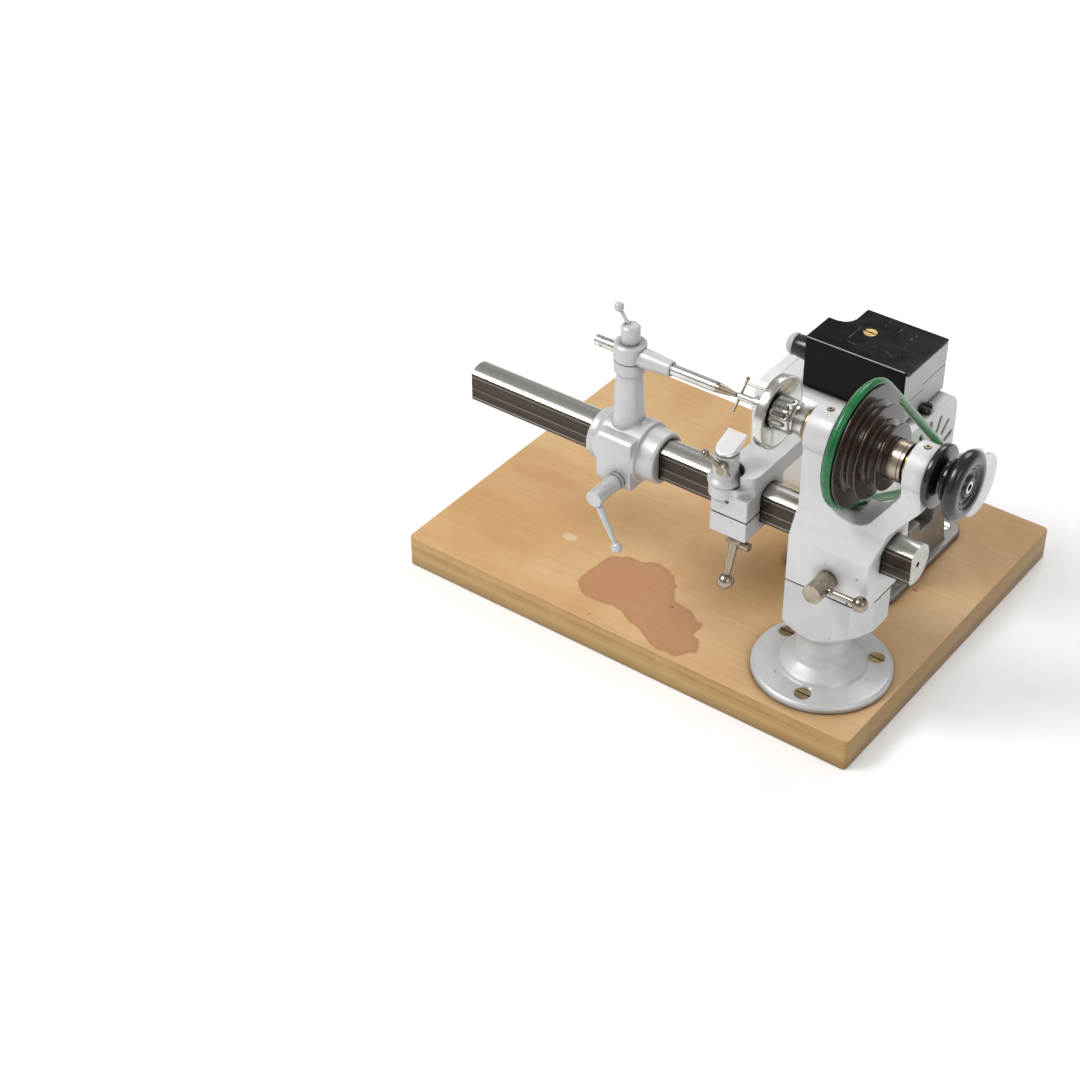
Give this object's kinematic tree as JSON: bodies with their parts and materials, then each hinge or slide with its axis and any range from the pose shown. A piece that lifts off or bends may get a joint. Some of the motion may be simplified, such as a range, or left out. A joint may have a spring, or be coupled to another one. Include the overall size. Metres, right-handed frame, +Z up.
{
  "type": "bench lathe for fine turning",
  "caption": "Small round-bar lathe on a board: pillar headstock with stepped pulley and handwheel, hand rest, swivel tailstock and belt motor.",
  "frame": {"origin": "centre of the board's flat underside, which stands on the bench", "axes": "+X along the bed from the tailstock to the handwheel, +Y from the operator's side to the motor, +Z up"},
  "size_m": [0.3296, 0.232, 0.2098],
  "materials": {
    "plywood": "varnished plywood, tan orange with a darker oil stain, worn edges",
    "silver_paint": "satin silver enamel on castings, rubbed on the edges",
    "white_paint": "whitish silver enamel with small dark chips",
    "motor_paint": "off-white enamel, slightly yellowed",
    "grey_casting": "dull grey paint with oil film",
    "cast_aluminium": "turned aluminium, dull",
    "bed_steel": "dark blued steel, long ground lines, bright along the round top",
    "bright_steel": "turned steel with fine rings, oil stained",
    "polished_steel": "ground and polished steel",
    "dark_steel": "browned steel with bright rubbed edges",
    "bronzed_steel": "browned steel",
    "brown_pulley": "dark brown moulded resin, turned grooves, worn shine on the rims",
    "black_plastic": "black moulded resin, handled shine",
    "black_gloss": "glossy black moulded cover with raised lines",
    "grey_plastic": "light grey moulding",
    "green_belt": "round green elastic belt, slight sheen",
    "brass": "brass, lightly tarnished",
    "screw_brass": "tarnished brass screw heads, dark slots",
    "bronze": "bearing bronze",
    "core_steel": "laminated core, lacquered",
    "copper_core": "laminated core with varnished copper windings",
    "carbon": "pressed carbon"
  },
  "bodies": {
    "board": {"base_board": "plywood", "foot_pillar": "silver_paint", "foot_screws": "screw_brass", "pillar_stud": "bright_steel", "bed_bar": "bed_steel", "headstock_frame": "white_paint", "front_bush": "bronze", "rear_bush": "bronze", "oil_cups": "screw_brass", "motor_housing": "motor_paint", "motor_left_cover": "motor_paint", "motor_right_cover": "motor_paint", "motor_stator": "core_steel", "motor_bearings": "bronze", "motor_feet": "grey_casting", "motor_feet_screws": "bright_steel", "brush_caps": "black_plastic", "carbon_brushes": "carbon", "control_box_base": "grey_plastic", "control_box_cover": "black_gloss", "control_box_screw": "brass", "cord_gland": "grey_plastic", "drive_belt": "green_belt"},
    "head_clamp": {"head_clamp_shaft": "dark_steel", "head_clamp_lever": "dark_steel"},
    "spindle": {"spindle": "bright_steel", "cone_pulley": "brown_pulley", "pulley_grub_screw": "bright_steel", "front_dust_ring": "screw_brass", "rear_dust_ring": "brass", "chuck_disc": "bright_steel", "chuck_hub": "bright_steel", "work_arbor": "bright_steel", "drive_pin": "dark_steel", "cross_bar": "dark_steel", "lock_disc": "black_plastic"},
    "draw_wheel": {"draw_tube": "bright_steel", "draw_handwheel": "black_plastic"},
    "rotor": {"motor_shaft": "bright_steel", "armature": "copper_core", "commutator": "bronze", "cooling_fan": "grey_casting", "motor_pulley": "cast_aluminium"},
    "rest_shoe": {"rest_shoe_upper": "silver_paint", "rest_shoe_lower": "silver_paint"},
    "rest_clamp": {"rest_bolt": "dark_steel", "rest_clamp_lever": "bronzed_steel"},
    "rest_holder": {"rest_holder": "silver_paint"},
    "tool_rest": {"tool_rest": "polished_steel"},
    "post_clamp": {"rest_post_clamp": "dark_steel"},
    "tailstock": {"tail_body": "silver_paint"},
    "tail_clamp": {"tail_clamp_shaft": "silver_paint", "tail_clamp_lever": "silver_paint"},
    "tail_head": {"tail_head": "silver_paint", "tail_barrel": "silver_paint"},
    "tail_lock": {"tail_lock_cap": "silver_paint", "tail_lock_lever": "silver_paint"},
    "tail_runner": {"tail_runner": "bright_steel", "tail_point": "bronzed_steel"}
  },
  "joints": [
    {"name": "spindle_spin", "type": "hinge", "parent": "board", "child": "spindle", "pos_m": [0.1, -0.0718, 0.1745], "axis": [1, 0, 0], "continuous": true},
    {"name": "draw_wheel_turn", "type": "hinge", "parent": "spindle", "child": "draw_wheel", "pos_m": [0.17, -0.0718, 0.1745], "axis": [1, 0, 0], "range_deg": [-720, 720]},
    {"name": "motor_spin", "type": "hinge", "parent": "board", "child": "rotor", "pos_m": [0.06, 0.038, 0.0925], "axis": [1, 0, 0], "continuous": true},
    {"name": "head_clamp_turn", "type": "hinge", "parent": "board", "child": "head_clamp", "pos_m": [0.1165, -0.092, 0.1], "axis": [0, -1, 0], "range_deg": [-70, 70]},
    {"name": "rest_slide", "type": "slide", "parent": "board", "child": "rest_shoe", "axis": [1, 0, 0], "range_m": [-0.034, 0.003]},
    {"name": "rest_clamp_turn", "type": "hinge", "parent": "rest_shoe", "child": "rest_clamp", "pos_m": [0.0556, -0.08558, 0.09], "axis": [0, 0, 1], "range_deg": [-60, 60]},
    {"name": "rest_holder_turn", "type": "hinge", "parent": "rest_shoe", "child": "rest_holder", "pos_m": [0.0482, -0.0874, 0.14], "axis": [0, 0, 1], "range_deg": [-60, 60]},
    {"name": "tool_rest_lift", "type": "slide", "parent": "rest_holder", "child": "tool_rest", "axis": [0, 0, 1], "range_m": [0, 0.005]},
    {"name": "post_clamp_turn", "type": "hinge", "parent": "rest_holder", "child": "post_clamp", "pos_m": [0.0482, -0.0874, 0.1451], "axis": [0.342, -0.9397, 0], "range_deg": [-40, 60]},
    {"name": "tail_slide", "type": "slide", "parent": "board", "child": "tailstock", "axis": [1, 0, 0], "range_m": [-0.07, 0]},
    {"name": "tail_clamp_turn", "type": "hinge", "parent": "tailstock", "child": "tail_clamp", "pos_m": [-0.0193, -0.09, 0.103], "axis": [0, -1, 0], "range_deg": [-60, 50]},
    {"name": "tail_head_swivel", "type": "hinge", "parent": "tailstock", "child": "tail_head", "pos_m": [-0.0248, -0.0718, 0.172], "axis": [0, 0, 1], "range_deg": [-90, 90]},
    {"name": "tail_lock_turn", "type": "hinge", "parent": "tail_head", "child": "tail_lock", "pos_m": [-0.0248, -0.0718, 0.185], "axis": [0, 0, 1], "range_deg": [-120, 120]},
    {"name": "runner_slide", "type": "slide", "parent": "tail_head", "child": "tail_runner", "axis": [1, 0, 0], "range_m": [-0.025, 0]}
  ],
  "couplings": [
    {"joint": "motor_spin", "follows": "spindle_spin", "ratio": 4.3421}
  ]
}
